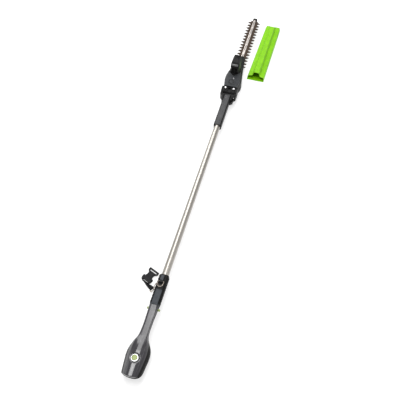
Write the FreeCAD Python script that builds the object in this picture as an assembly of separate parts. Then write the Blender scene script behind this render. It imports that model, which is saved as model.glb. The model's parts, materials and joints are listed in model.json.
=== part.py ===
import FreeCAD, Part
import math
import os

# Cordless pole hedge trimmer lying on a floor, with its blade sheath beside it.
# Millimetres. +Y runs along the pole towards the blade tip, +Z is up, +X is the right side.
# The origin is on the floor, under the flat bottom of the battery housing.

V = FreeCAD.Vector

# ---------------------------------------------------------------- driving dimensions
AXIS_Z = 50.0            # height of the pole's axis above the floor
SEAM_Z = 50.0            # joint line between the upper and lower shells
WALL = 3.0               # wall of the moulded shells
GAP = 0.3                # clearance between pieces of different bodies

HOUSING_REAR_Y = -86.0   # rear end of the battery housing
REAR_LEAN = 11.0         # how far the rear wall leans in between the seam and the floor
NECK_END_Y = 217.0       # glossy top shell ends, matte grip panel starts
HANDLE_FRONT_Y = 357.0   # front face of the handle
HANDLE_HALF = 20.0       # half width and half height of the handle's front section
HANDLE_TOP_HALF = 12.0   # half width of its flat top

BUTTON_Y = -15.0         # battery release button
BUTTON_RECESS_R = 20.0
BEZEL_R = 15.2
LOCK_OFF_Y = 205.0       # lock-off buttons, one on each side
LOCK_OFF_Z = 44.0
LOCK_OFF_R = 5.0
TRIGGER_PIVOT_Y = 188.0
TRIGGER_PIVOT_Z = 41.0
TRIGGER_HALF = 6.0
TRIGGER_PIN_R = 1.95

BATTERY_HALF = 35.0
BATTERY_KEEL_HALF = 22.0 # half width of its flat underside
BATTERY_BOTTOM_Z = 4.2
BATTERY_TOP_Z = 44.5
BATTERY_FRONT_Y = 22.0

PAD_REAR_Y = 222.0       # soft pads over the grip's bevels and flanks
PAD_FRONT_Y = 354.0
RIB_COUNT = 11           # slanting ribs on each pad
RIB_START_Y = 226.0
RIB_PITCH = 13.0
RIB_SLANT = 38.0

TUBE_R = 16.0
TUBE_WALL = 1.5
TUBE_REAR_Y = 246.0
TUBE_FRONT_Y = 1340.0
LEAD_R = 3.5

SLEEVE_REAR_Y = 1258.0
SLEEVE_FRONT_Y = 1485.0
SLEEVE_SPLIT_Z = 62.0    # seat of the grey lid in the black body
SLEEVE_HALF = 20.0       # half width and half height of the sleeve
SLEEVE_FLAT = 14.5       # half width of its flats
SLEEVE_SCREW = (-6.0, 1462.0)

PIVOT_Y = 1528.0         # head pivot, axis along X through the pole's axis
BARREL_R = 28.0
BARREL_HALF = 33.0
SWEEP_R = 34.5           # radius kept free around the pivot behind the barrel
LUG_TOP = 78.4           # seat of the barrel's two clamp screws
EAR_OUT = 44.0           # outer face of the yoke's ears
PIVOT_BOLT_R = 5.0
CLAMP_SCREW_X = 23.0
LEVER_PIVOT = V(33.5, 1480.0, 0.0)
LEVER_PIN_R = 2.0

CASE_SPLIT_Z = 30.0      # joint line of the two gear case halves, in the blade plane
DECK_Z = 50.0            # top of the gear case deck
NOSE_Y = 1858.0          # front of the gear case nose
NOSE_START_Y = 1754.0    # the blades leave the gear case here
NOSE_TOP = 38.4
TOWER_HALF = 24.5        # half width of the motor tower
TOWER_FRONT_Y = 1716.0
TOWER_TOP_Z = 175.0
TOWER_LIP_Z = 147.0      # top of its sloping rear face
DOME_START_Z = 134.0     # its sides are upright up to here

COVER_REAR_Y = 1545.0    # grey cover behind the motor tower
COVER_FRONT_Y = 1652.0
COVER_LOW_Z = 80.0
COVER_HIGH_Z = 99.0
COVER_SCREW = (5.5, 1598.0)
COVER_BOSS = (-2.0, 1574.0)

MODULE = 1.25
PINION_TEETH = 12
GEAR_TEETH = 48
GEAR_Y = 1650.0          # crank axis, vertical
MOTOR_Y = GEAR_Y + MODULE * (PINION_TEETH + GEAR_TEETH) / 2.0 + 0.1
GEAR_Z0 = 36.0
GEAR_Z1 = 44.0
MOTOR_R = 21.0
CRANK_THROW = 7.0        # each blade moves this far to either side of its middle
ECCENTRIC_R = 12.0
SHAFT_R = 4.0
BEARING_R = 8.0

BLADE_THICK = 2.2
BLADE_GAP = 0.3
YOKE_HALF = 26.0         # half width of a blade's yoke around the crank
YOKE_LENGTH_HALF = 33.5
LOWER_BLADE_Z = 27.5
UPPER_BLADE_Z = LOWER_BLADE_Z + BLADE_THICK + BLADE_GAP
BAR_Z = UPPER_BLADE_Z + BLADE_THICK + BLADE_GAP
BLADE_ROOT_HALF = 21.0
BLADE_TIP_HALF = 37.5
TOOTH_BASE_HALF = 8.5
TOOTH_TIP_HALF = 2.2
TOOTH_PITCH = 28.0
TOOTH_COUNT = 16
FIRST_TOOTH_Y = 1774.0
BLADE_END_Y = 2213.0
BAR_HALF = 7.5
BAR_REAR_Y = 1840.0
BAR_FRONT_Y = 2224.0
BAR_THICK = 3.0
BOLT_R = 3.0
BOLT_YS = [1876.0 + 84.0 * i for i in range(4)] + [2200.0]

STRAP_MOUNT_Y = 286.0    # the grip's panel ends and the block for the strap's ring begins
TAB_HALF = 8.0
RING_X = -3.0            # strap ring on top of the handle
RING_HALF = 12.0
RING_BAR_Y = 320.0
RING_REACH = 28.0        # from the bar to the far side of the bow
RING_Z = 74.2
RING_WIRE_R = 1.5
RING_TILT = 15.0         # degrees, the hook's wire holds the bow up

BUCKLE_X = -76.0         # mouth of the buckle socket, lying on the floor
BUCKLE_Y = 352.0
BUCKLE_TURN = -22.0      # degrees about Z
BUCKLE_HALF = 25.0
BUCKLE_LOW_Z = 0.4
BUCKLE_THICK = 13.0

HOOK_LOOP = V(-15.0, 303.0, 77.1)   # middle of the hook's loop around the ring
HOOK_LOOP_R = 5.9
HOOK_WIRE_R = 1.8
HOOK_GATE_R = 0.75
STRAP_BAR = V(-45.0, 306.5, 4.2)    # middle of the hook's lower bar, which holds the webbing
STRAP_BAR_HALF = 13.0
WEBBING_HALF = 10.5
STRAP_BAR_DIR = V(0.49, 0.87, 0.0)  # along that bar

SHEATH_X = 117.0
SHEATH_REAR_Y = 1712.0
SHEATH_FRONT_Y = 2205.0
SHEATH_TURN = -1.4       # degrees about Z: it doesn't lie quite along the blade
SHEATH_TOP = 45.0
SHEATH_WALL = 2.4


# ---------------------------------------------------------------- helpers
def box(x0, x1, y0, y1, z0, z1):
    return Part.makeBox(x1 - x0, y1 - y0, z1 - z0, V(x0, y0, z0))


def rod(radius, start, end):
    direction = end.sub(start)
    return Part.makeCylinder(radius, direction.Length, start, direction)


def rod_x(radius, y, z, x0, x1):
    return rod(radius, V(x0, y, z), V(x1, y, z))


def rod_y(radius, x, z, y0, y1):
    return rod(radius, V(x, y0, z), V(x, y1, z))


def rod_z(radius, x, y, z0, z1):
    return rod(radius, V(x, y, z0), V(x, y, z1))


def place(plane, level, point):
    a, b = point
    if plane == "xy":
        return V(a, b, level)
    if plane == "yz":
        return V(level, a, b)
    return V(a, level, b)


def face(plane, level, steps):
    """Closed outline in a plane. A step is a point, or a pair (via, end) for an arc."""
    edges = []
    first = place(plane, level, steps[0])
    here = first
    for step in steps[1:]:
        if isinstance(step[0], tuple):
            via = place(plane, level, step[0])
            end = place(plane, level, step[1])
            edges.append(Part.Arc(here, via, end).toShape())
        else:
            end = place(plane, level, step)
            edges.append(Part.LineSegment(here, end).toShape())
        here = end
    if here.distanceToPoint(first) > 1e-6:
        edges.append(Part.LineSegment(here, first).toShape())
    return Part.Face(Part.Wire(edges))


def plan(steps, z0, z1):
    return face("xy", z0, steps).extrude(V(0, 0, z1 - z0))


def profile(steps, x0, x1):
    return face("yz", x0, steps).extrude(V(x1 - x0, 0, 0))


def section(steps, y0, y1):
    return face("xz", y0, steps).extrude(V(0, y1 - y0, 0))


def lathe(steps, x, y):
    """Solid of revolution about a vertical axis, from its (radius, z) outline."""
    shape = face("xz", 0.0, steps).revolve(V(0, 0, 0), V(0, 0, 1), 360.0)
    shape.translate(V(x, y, 0.0))
    return shape


def both_sides(half):
    """Full outline from its right half, listed from one end of the middle line to the other."""
    left = [(-x, y) for x, y in reversed(half) if x > 0]
    return half + left


def skin(sections):
    """Solid through a row of sections: smooth along the row, with a crease at each corner."""
    rails = []
    for corner in zip(*sections):
        curve = Part.BSplineCurve()
        curve.interpolate(list(corner))
        rails.append(curve.toShape())
    faces = [Part.makeRuledSurface(a, b) for a, b in zip(rails, rails[1:] + rails[:1])]
    faces += [Part.Face(Part.makePolygon(s + [s[0]])) for s in (sections[0], sections[-1])]
    solid = Part.Solid(Part.makeShell(faces))
    solid.sewShape()
    solid = Part.Solid(solid.Shells[0])
    if solid.Volume < 0:
        solid.reverse()
    return solid


def fuse(shapes):
    first = shapes[0]
    return first.multiFuse(shapes[1:]).removeSplitter()


def cut(shape, tools):
    for tool in tools:
        shape = shape.cut(tool)
    return shape


def mirror_x(shape):
    return shape.mirror(V(0, 0, 0), V(1, 0, 0))


def pair(shape):
    return [shape, mirror_x(shape)]


def turned(shape, angle, at, axis):
    copy = shape.copy()
    copy.rotate(at, axis, angle)
    return copy


def plan_both(half, z0, z1):
    """Plan outline given by its right half, which starts and ends on the middle line."""
    return fuse(pair(plan(half, z0, z1)))


def chamfered(shape, size, z):
    """Chamfer every edge that lies in the plane at height z."""
    edges = [e for e in shape.Edges if all(abs(v.Z - z) < 1e-3 for v in e.Vertexes)]
    return shape.makeChamfer(size, edges)


def octagon(half, flat, z_mid):
    """Right half of the handle's section, from the bottom middle to the top middle."""
    return both_sides([
        (0.0, z_mid - half), (flat, z_mid - half), (half, z_mid - flat),
        (half, z_mid + flat), (flat, z_mid + half), (0.0, z_mid + half),
    ])


NODES = {}


# ---------------------------------------------------------------- battery housing and neck
# Stations along the housing: y, half width, bottom, top. A bottom below the floor plane is
# trimmed off flat, which leaves the rest face.
STATIONS = [
    (-100.0, 39.5, -1.5, 72.0),
    (-60.0, 42.5, -1.5, 76.0),
    (-20.0, 46.5, -1.5, 79.0),
    (12.0, 48.5, -1.0, 80.0),
    (36.0, 44.5, 2.0, 79.0),
    (56.0, 34.5, 11.0, 76.0),
    (76.0, 22.5, 22.0, 72.0),
    (96.0, 17.5, 29.0, 69.5),
    (125.0, 16.5, 32.0, 68.0),
    (170.0, 17.5, 32.0, 68.5),
    (NECK_END_Y, HANDLE_HALF, 30.0, 70.0),
]

# Upper corners of the section as fractions of its half width and of its rise above the seam:
# crowned over the battery, nearly square along the neck, and the handle's octagon at the end.
HOUSING_TOP = [(0.84, 0.45), (0.60, 0.87), (0.30, 0.965), (0.10, 1.0)]
NECK_TOP = [(1.0, 0.78), (0.90, 0.97), (0.50, 1.0), (0.10, 1.0)]
HANDLE_TOP = [(1.0, 0.60), (0.60, 1.0), (0.40, 1.0), (0.10, 1.0)]


def between(low, high, value):
    return min(1.0, max(0.0, (value - low) / (high - low)))


def top_corners(y):
    """Fractions for the upper corners of the section at that station."""
    to_neck = between(30.0, 96.0, y)
    to_handle = between(170.0, NECK_END_Y, y)
    corners = []
    for stages in zip(HOUSING_TOP, NECK_TOP, HANDLE_TOP):
        corners.append([a + to_neck * (b - a) + to_handle * (c - b) for a, b, c in zip(*stages)])
    return corners


def lip_share(y):
    """Half width at the seam's height, as a share of the widest half width."""
    return 0.90 + 0.10 * between(30.0, 96.0, y)


def lower_section(station, inset, top):
    y, half, bottom, _ = station
    t = between(60.0, NECK_END_Y, y)
    w = half - inset
    base = bottom + inset
    depth = SEAM_Z - bottom
    lip = lip_share(y) * half - inset
    right = [
        ((0.54 + 0.06 * t) * w, base), ((0.90 + 0.10 * t) * w, base + (0.26 + 0.14 * t) * depth),
        (w, SEAM_Z - 0.3 * depth), (lip, SEAM_Z), (lip, top),
    ]
    left = [(-x, z) for x, z in reversed(right)]
    return [V(x, y, z) for x, z in right + left]


def upper_section(station, inset, bottom):
    y, half, _, top = station
    lip = lip_share(y) * half - inset
    rise = top - SEAM_Z - inset
    corners = [(across * lip, SEAM_Z + up * rise) for across, up in top_corners(y)]
    right = [(lip, bottom), (lip, SEAM_Z)] + corners
    left = [(-x, z) for x, z in reversed(right)]
    return [V(x, y, z) for x, z in right + left]


def rear_outline(inset, z):
    """Plan outline with the housing's bowed rear end and rounded rear corners."""
    rear = HOUSING_REAR_Y + inset
    side = 60.0 - inset
    corner = 46.0 - inset
    cheek = (41.5 - inset, -70.0 + 0.75 * inset)
    tail = (30.0 - 0.6 * inset, -79.5 + inset)
    return face("xy", z, [
        (-side, 400.0), (-side, -40.0), (-corner, -52.0), ((-cheek[0], cheek[1]), (-tail[0], tail[1])),
        ((0.0, rear), tail), (cheek, (corner, -52.0)), (side, -40.0), (side, 400.0),
    ]).OuterWire


def upper_room(inset):
    """Room inside the rear outline, above the seam."""
    return Part.Face(rear_outline(inset, SEAM_Z - 10.0)).extrude(V(0, 0, 60.0))


def lower_room(inset):
    """Room inside the rear wall below the seam, where it leans inwards towards the floor."""
    rise = SEAM_Z + 2.0
    at_top = inset - REAR_LEAN * (rise - SEAM_Z) / SEAM_Z
    return Part.makeLoft([rear_outline(inset + REAR_LEAN, 0.0), rear_outline(at_top, rise)], True, True)


def battery_section(grow):
    """Battery outline across the housing, with bevels along its lower edges."""
    half = BATTERY_HALF + grow
    low = BATTERY_BOTTOM_Z - grow
    high = BATTERY_TOP_Z + grow
    return both_sides([
        (0.0, low), (BATTERY_KEEL_HALF + grow * 0.5, low), (half, low + 12.6), (half, high), (0.0, high),
    ])


def handle_cavity():
    """Room inside the front section: a hollow behind the tube and the tube's seat."""
    hollow_section = octagon(HANDLE_HALF - WALL, HANDLE_TOP_HALF - 1.0, AXIS_Z)
    hollow = section(hollow_section, NECK_END_Y - 1.0, TUBE_REAR_Y)
    seat = rod_y(TUBE_R + 0.1, 0.0, AXIS_Z, TUBE_REAR_Y - 1.0, HANDLE_FRONT_Y + 1.0)
    return [hollow, seat]


def lock_off_hole():
    return rod_x(LOCK_OFF_R + GAP, LOCK_OFF_Y, LOCK_OFF_Z, -40.0, 40.0)


def make_lower_shell():
    outer = skin([lower_section(s, 0.0, SEAM_Z + 0.01) for s in STATIONS])
    inner = skin([lower_section(s, WALL, SEAM_Z + 2.0) for s in STATIONS])
    outer = outer.common(lower_room(0.0))
    inner = inner.common(lower_room(WALL))
    front = section(octagon(HANDLE_HALF, HANDLE_TOP_HALF, AXIS_Z), NECK_END_Y, HANDLE_FRONT_Y)
    shell = outer.cut(inner).fuse(front)
    shell = shell.common(box(-60.0, 60.0, -120.0, 400.0, 0.0, SEAM_Z - 0.1))
    mouth = section(battery_section(0.6), -120.0, -44.0)
    slot = box(-TRIGGER_HALF - 0.4, TRIGGER_HALF + 0.4, 128.0, 196.0, 20.0, 49.0)
    shell = cut(shell, handle_cavity() + [slot, lock_off_hole(), mouth])
    pin_boss = rod_x(4.5, TRIGGER_PIVOT_Y, TRIGGER_PIVOT_Z, 7.0, 15.0)
    pin_hole = rod_x(TRIGGER_PIN_R + 0.05, TRIGGER_PIVOT_Y, TRIGGER_PIVOT_Z, -15.5, 15.5)
    return fuse([shell] + pair(pin_boss)).cut(pin_hole)


def make_top_shell():
    outer = skin([upper_section(s, 0.0, SEAM_Z) for s in STATIONS]).common(upper_room(0.6))
    inner = skin([upper_section(s, WALL, SEAM_Z - 2.0) for s in STATIONS]).common(upper_room(0.6 + WALL))
    shell = outer.cut(inner)
    shell = shell.common(box(-60.0, 60.0, -120.0, NECK_END_Y - 0.1, SEAM_Z + 0.1, 120.0))
    recess = rod_z(BUTTON_RECESS_R, 0.0, BUTTON_Y, 76.0, 100.0)
    floor_pad = rod_z(BUTTON_RECESS_R + 2.0, 0.0, BUTTON_Y, 72.0, 76.0)
    hole = rod_z(BEZEL_R + 0.2, 0.0, BUTTON_Y, 60.0, 100.0)
    return cut(fuse([shell.cut(recess), floor_pad]), [hole, lock_off_hole()])


def make_battery():
    pack = section(battery_section(0.0), -100.0, BATTERY_FRONT_Y).common(lower_room(0.2))
    slots = [box(x - 1.7, x + 1.7, BATTERY_FRONT_Y - 14.0, BATTERY_FRONT_Y + 1.0, 16.0, 34.0)
             for x in (-14.0, 0.0, 14.0)]
    catch = box(-8.0, 8.0, BUTTON_Y - 8.5, BUTTON_Y + 8.5, BATTERY_TOP_Z - 5.0, BATTERY_TOP_Z + 1.0)
    ridges = []
    for i in range(5):
        z = 14.0 + 5.0 * i
        rear = HOUSING_REAR_Y + REAR_LEAN * (SEAM_Z - z) / SEAM_Z
        ridges.append(box(-20.0, 20.0, -100.0, rear + 2.2, z, z + 1.6))
    return cut(pack, slots + [catch] + ridges)


def make_terminal_block():
    block = box(-22.0, 22.0, BATTERY_FRONT_Y + 2.0, BATTERY_FRONT_Y + 13.0, 8.0, 38.0)
    blades = [box(x - 0.6, x + 0.6, BATTERY_FRONT_Y - 11.0, BATTERY_FRONT_Y + 2.0, 18.0, 32.0)
              for x in (-14.0, 0.0, 14.0)]
    return fuse([block] + blades)


def make_control_board():
    board = box(-13.0, 13.0, 42.0, 74.0, 46.0, 47.6)
    heat_sink = box(-10.0, 10.0, 46.0, 58.0, 47.6, 58.0)
    capacitor = rod_y(4.5, 0.0, 51.8, 60.0, 73.0)
    return fuse([board, heat_sink, capacitor])


def build_housing():
    NODES["housing_lower_shell"] = make_lower_shell()
    NODES["housing_top_shell"] = make_top_shell()
    NODES["battery_pack"] = make_battery()
    NODES["terminal_block"] = make_terminal_block()
    NODES["control_board"] = make_control_board()
    NODES["button_bezel"] = lathe([
        (10.6, 74.0), (BEZEL_R, 74.0), (BEZEL_R, 78.4), (13.6, 81.2), (12.2, 81.2), (10.6, 79.2),
    ], 0.0, BUTTON_Y)
    NODES["battery_release_button"] = lathe([
        (0.0, 47.0), (7.0, 47.0), (7.0, 50.0), (3.5, 50.0), (3.5, 75.0), (10.2, 75.0),
        (10.2, 80.6), ((9.9, 81.5), (9.0, 81.9)), (0.0, 82.4),
    ], 0.0, BUTTON_Y)


# ---------------------------------------------------------------- trigger and lock-off
def make_trigger():
    side = profile([
        (TRIGGER_PIVOT_Y + 5.0, 44.0), (TRIGGER_PIVOT_Y - 6.0, 46.0), (134.0, 40.0), (134.0, 33.0),
        ((137.0, 24.0), (146.0, 18.5)), ((163.0, 23.5), (178.0, 29.0)), (TRIGGER_PIVOT_Y + 5.0, 36.5),
    ], -TRIGGER_HALF, TRIGGER_HALF)
    hub = rod_x(4.5, TRIGGER_PIVOT_Y, TRIGGER_PIVOT_Z, -TRIGGER_HALF, TRIGGER_HALF)
    bore = rod_x(TRIGGER_PIN_R + 0.05, TRIGGER_PIVOT_Y, TRIGGER_PIVOT_Z, -7.0, 7.0)
    return fuse([side, hub]).cut(bore)


def make_lock_off():
    """Right-hand lock-off button, with the flange that keeps it in the shell."""
    face_x = HANDLE_HALF + 6.0
    stem = rod_x(LOCK_OFF_R, LOCK_OFF_Y, LOCK_OFF_Z, 11.0, face_x)
    tip = Part.makeCone(LOCK_OFF_R, 3.6, 2.0, V(face_x, LOCK_OFF_Y, LOCK_OFF_Z), V(1, 0, 0))
    flange = rod_x(5.6, LOCK_OFF_Y, LOCK_OFF_Z - 0.4, 11.0, 13.4)
    return fuse([stem, tip, flange])


def build_controls():
    NODES["trigger"] = make_trigger()
    NODES["trigger_pin"] = rod_x(TRIGGER_PIN_R, TRIGGER_PIVOT_Y, TRIGGER_PIVOT_Z, -14.5, 14.5)
    NODES["trigger_switch"] = fuse([
        box(-6.0, 6.0, 142.0, 168.0, 51.5, 60.0), rod_z(2.0, 0.0, 155.0, 50.0, 51.5),
    ])
    right, left = pair(make_lock_off())
    NODES["lock_off_button_right"] = right
    NODES["lock_off_button_left"] = left


# ---------------------------------------------------------------- front grip
def pad_band(low, high):
    """Right-hand band over the handle's upper bevel and flank, between two distances from it."""
    half = HANDLE_HALF
    flat = HANDLE_TOP_HALF
    lean = math.sqrt(0.5)
    edge_x = flat + 1.5
    edge_z = AXIS_Z + half - 1.5
    return section([
        (edge_x + lean * low, edge_z + lean * low), (half + low, AXIS_Z + flat),
        (half + low, AXIS_Z - flat), (half + high, AXIS_Z - flat), (half + high, AXIS_Z + flat + 0.4 * high),
        (edge_x + lean * high, edge_z + lean * high),
    ], PAD_REAR_Y, PAD_FRONT_Y)


def grip_ribs():
    """Slanting ribs on the pad's outer side."""
    ribs = []
    for i in range(RIB_COUNT):
        y = RIB_START_Y + RIB_PITCH * i
        rib = box(8.0, HANDLE_HALF + 5.0, y - 2.2, y + 2.2, 10.0, 90.0)
        ribs.append(turned(rib, RIB_SLANT, V(0, y, AXIS_Z), V(1, 0, 0)))
    reach = box(0.0, 60.0, PAD_REAR_Y + 2.0, PAD_FRONT_Y - 2.0, AXIS_Z - 10.5, AXIS_Z + 18.0)
    return Part.makeCompound(ribs).common(pad_band(0.9, 1.8)).common(reach)


def make_grip_pads():
    """Soft overmould on both sides of the grip, over its bevels and flanks."""
    right = fuse([pad_band(0.05, 1.0)] + grip_ribs().Solids)
    return Part.makeCompound(pair(right))


def grip_block(rear, front):
    """Upper half of the handle between two places along it."""
    block = section(octagon(HANDLE_HALF, HANDLE_TOP_HALF, AXIS_Z), rear, front)
    upper = block.common(box(-60.0, 60.0, 0.0, 400.0, SEAM_Z + 0.1, 100.0))
    return cut(upper, handle_cavity())


def make_strap_mount():
    recess = box(RING_X - 9.0, RING_X + 9.0, STRAP_MOUNT_Y + 4.0, RING_BAR_Y - 7.0, 68.4, 80.0)
    return grip_block(STRAP_MOUNT_Y + 0.1, HANDLE_FRONT_Y).cut(recess)


def make_strap_tab():
    block = profile([
        (314.0, 70.0), (314.0, 76.5), (316.5, 78.2), (349.0, 78.2), (352.0, 75.0), (352.0, 70.0),
    ], RING_X - TAB_HALF, RING_X + TAB_HALF)
    bore = rod_x(RING_WIRE_R + 0.4, RING_BAR_Y, RING_Z, RING_X - 20.0, RING_X + 20.0)
    return block.cut(bore)


def build_grip():
    NODES["grip_panel"] = grip_block(NECK_END_Y + 0.1, STRAP_MOUNT_Y)
    NODES["grip_pads"] = make_grip_pads()
    NODES["strap_mount"] = make_strap_mount()
    NODES["strap_tab"] = make_strap_tab()
    pad_half = TAB_HALF - 1.2
    pad = box(RING_X - pad_half, RING_X + pad_half, 325.0, 347.0, 78.25, 79.4)
    NODES["tab_pad"] = chamfered(pad, 0.5, 79.4)


# ---------------------------------------------------------------- pole and head sleeve
def make_tube():
    bore = rod_y(TUBE_R - TUBE_WALL, 0.0, AXIS_Z, TUBE_REAR_Y - 1.0, TUBE_FRONT_Y + 1.0)
    return rod_y(TUBE_R, 0.0, AXIS_Z, TUBE_REAR_Y, TUBE_FRONT_Y).cut(bore)


def sleeve_core():
    """Everything inside the sleeve: the tube's seat and the hollow in front of it."""
    seat = rod_y(TUBE_R + 0.1, 0.0, AXIS_Z, SLEEVE_REAR_Y - 1.0, TUBE_FRONT_Y + 0.2)
    hollow = section(octagon(15.5, 12.0, AXIS_Z), TUBE_FRONT_Y, SLEEVE_FRONT_Y - 8.0)
    return [seat, hollow]


def cover_room(half, bottom):
    return box(-half, half, 0.0, 2000.0, bottom, 100.0)


def make_sleeve_cover():
    """Flat grey lid let into the top of the sleeve, with rounded front corners."""
    shape = section(octagon(SLEEVE_HALF, SLEEVE_FLAT, AXIS_Z), SLEEVE_REAR_Y, SLEEVE_FRONT_Y)
    shape = shape.common(cover_room(SLEEVE_FLAT - 0.1, SLEEVE_SPLIT_Z + 0.1))
    rear = SLEEVE_REAR_Y - 1.0
    front = SLEEVE_FRONT_Y
    rounded_front = plan_both([
        (0.0, rear), (30.0, rear), (30.0, front - 60.0), (SLEEVE_FLAT, front - 9.0),
        ((12.6, front - 2.6), (8.0, front)), (0.0, front),
    ], 50.0, 90.0)
    x, y = SLEEVE_SCREW
    head_seat = rod_z(4.2, x, y, 67.5, 80.0)
    shank_hole = rod_z(1.6, x, y, 60.0, 80.0)
    return cut(shape.common(rounded_front), sleeve_core() + [head_seat, shank_hole])


def make_sleeve_body():
    shape = section(octagon(SLEEVE_HALF, SLEEVE_FLAT, AXIS_Z), SLEEVE_REAR_Y, SLEEVE_FRONT_Y)
    return cut(shape, sleeve_core() + [cover_room(SLEEVE_FLAT, SLEEVE_SPLIT_Z)])


def build_pole():
    NODES["pole_tube"] = make_tube()
    NODES["power_lead"] = rod_y(LEAD_R, 0.0, AXIS_Z, TUBE_REAR_Y - 8.0, TUBE_FRONT_Y + 40.0)
    NODES["lead_connector"] = box(-9.0, 9.0, TUBE_FRONT_Y + 40.1, TUBE_FRONT_Y + 66.0, 42.0, 58.0)
    NODES["sleeve_cover"] = make_sleeve_cover()
    NODES["sleeve_body"] = make_sleeve_body()
    x, y = SLEEVE_SCREW
    NODES["sleeve_screw"] = lathe([
        (0.0, 61.0), (1.5, 61.0), (1.5, 67.6), (4.0, 67.6), (4.0, 68.6), (3.2, 69.3), (0.0, 69.3),
    ], x, y)


# ---------------------------------------------------------------- head pivot
def bolt_hole():
    return rod_x(PIVOT_BOLT_R + 0.05, PIVOT_Y, AXIS_Z, -60.0, 60.0)


def lever_pin_rod():
    return rod_z(LEVER_PIN_R, LEVER_PIVOT.x, LEVER_PIVOT.y, 30.0, 60.0)


def make_yoke():
    base = plan_both([
        (0.0, 1452.0), (24.5, 1452.0), (27.5, 1458.0), (29.0, 1474.0), (EAR_OUT, 1493.0),
        (EAR_OUT, PIVOT_Y), (0.0, PIVOT_Y),
    ], 27.0, 66.2)
    ears = pair(rod_x(29.0, PIVOT_Y, AXIS_Z, BARREL_HALF + 0.5, EAR_OUT))
    seat_half = SLEEVE_HALF + 0.1
    sleeve = section(octagon(seat_half, SLEEVE_FLAT, AXIS_Z), 1400.0, SLEEVE_FRONT_Y + 0.1)
    over_sleeve = box(-seat_half, seat_half, 1400.0, SLEEVE_FRONT_Y + 0.1, AXIS_Z - 1.0, 90.0)
    inner_half = BARREL_HALF + 0.5
    barrel_room = rod_x(SWEEP_R, PIVOT_Y, AXIS_Z, -inner_half, inner_half)
    front_room = box(-inner_half, inner_half, PIVOT_Y - 12.0, 1600.0, 0.0, 100.0)
    head_seat = rod_x(10.2, PIVOT_Y, AXIS_Z, EAR_OUT - 5.0, EAR_OUT + 1.0)
    lever_slot = box(28.0, 46.0, 1440.0, 1488.0, 36.0, 53.0)
    tools = [sleeve, over_sleeve, barrel_room, front_room, bolt_hole(), lever_slot, lever_pin_rod()]
    return cut(fuse([base] + ears), tools + pair(head_seat))


def make_barrel():
    """Head side of the pivot: the barrel, its two clamp lugs and the arm that carries the case."""
    barrel = rod_x(BARREL_R, PIVOT_Y, AXIS_Z, -BARREL_HALF + 2.4, BARREL_HALF)
    lug = box(16.0, 30.5, PIVOT_Y - 11.0, PIVOT_Y + 11.0, AXIS_Z, LUG_TOP)
    arm = box(-30.5, 30.5, PIVOT_Y, 1561.9, 27.0, 73.6)
    notch = box(-9.0, 9.0, PIVOT_Y - 40.0, PIVOT_Y + 4.0, 70.0, 90.0)
    clamp_holes = pair(rod_z(2.6, CLAMP_SCREW_X, PIVOT_Y, 62.0, 90.0))
    return cut(fuse([barrel, arm] + pair(lug)), [bolt_hole(), notch] + clamp_holes)


def hex_head(radius, height, start, direction):
    angles = [math.radians(60.0 * i) for i in range(6)]
    points = [V(radius * math.cos(a), radius * math.sin(a), 0) for a in angles]
    prism = Part.Face(Part.makePolygon(points + [points[0]])).extrude(V(0, 0, height))
    prism.Placement = FreeCAD.Placement(start, FreeCAD.Rotation(V(0, 0, 1), direction))
    return prism


def make_clamp_screw():
    x = CLAMP_SCREW_X
    top = LUG_TOP
    shank = rod_z(2.5, x, PIVOT_Y, top - 15.0, top)
    head = lathe([(0.0, top), (5.6, top), (5.6, top + 2.6), (4.6, top + 3.7), (0.0, top + 3.7)], x, PIVOT_Y)
    socket = hex_head(2.6, 2.5, V(x, PIVOT_Y, top + 2.0), V(0, 0, 1))
    return fuse([shank, head]).cut(socket)


def make_index_disc():
    """Toothed steel disc on the barrel's left end: its notches set the head's angle."""
    disc = rod_x(26.5, PIVOT_Y, AXIS_Z, -BARREL_HALF, -BARREL_HALF + 2.2)
    notch = box(-BARREL_HALF - 1.0, -BARREL_HALF + 3.0, PIVOT_Y - 2.0, PIVOT_Y + 2.0,
                AXIS_Z + 22.0, AXIS_Z + 30.0)
    notches = [turned(notch, 15.0 * i, V(0, PIVOT_Y, AXIS_Z), V(1, 0, 0)) for i in range(24)]
    return cut(disc, [bolt_hole()] + notches)


def make_lock_lever():
    """Sprung lever on the yoke's right cheek; squeezing its rear end frees the head."""
    blade = plan([
        (30.0, 1484.0), (37.0, 1484.0), (37.5, 1474.0), (35.5, 1462.0), (35.5, 1449.0),
        ((33.5, 1446.5), (31.5, 1449.0)), (32.0, 1470.0),
    ], 37.0, 52.0)
    return blade.cut(rod_z(LEVER_PIN_R + 0.05, LEVER_PIVOT.x, LEVER_PIVOT.y, 30.0, 60.0))


def build_pivot():
    NODES["pivot_yoke"] = make_yoke()
    NODES["pivot_barrel"] = make_barrel()
    NODES["barrel_screws"] = Part.makeCompound(pair(make_clamp_screw()))
    NODES["index_disc"] = make_index_disc()
    shank = rod_x(PIVOT_BOLT_R, PIVOT_Y, AXIS_Z, -EAR_OUT + 5.0, EAR_OUT - 5.0)
    head = rod_x(9.8, PIVOT_Y, AXIS_Z, EAR_OUT - 5.0, EAR_OUT - 0.6)
    socket = hex_head(4.0, 3.0, V(EAR_OUT - 3.0, PIVOT_Y, AXIS_Z), V(1, 0, 0))
    NODES["pivot_bolt"] = fuse([shank, head]).cut(socket)
    NODES["pivot_nut"] = hex_head(9.6, 4.4, V(-EAR_OUT + 5.0, PIVOT_Y, AXIS_Z), V(-1, 0, 0))
    NODES["lock_lever"] = make_lock_lever()
    NODES["lever_pin"] = lever_pin_rod()


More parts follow.
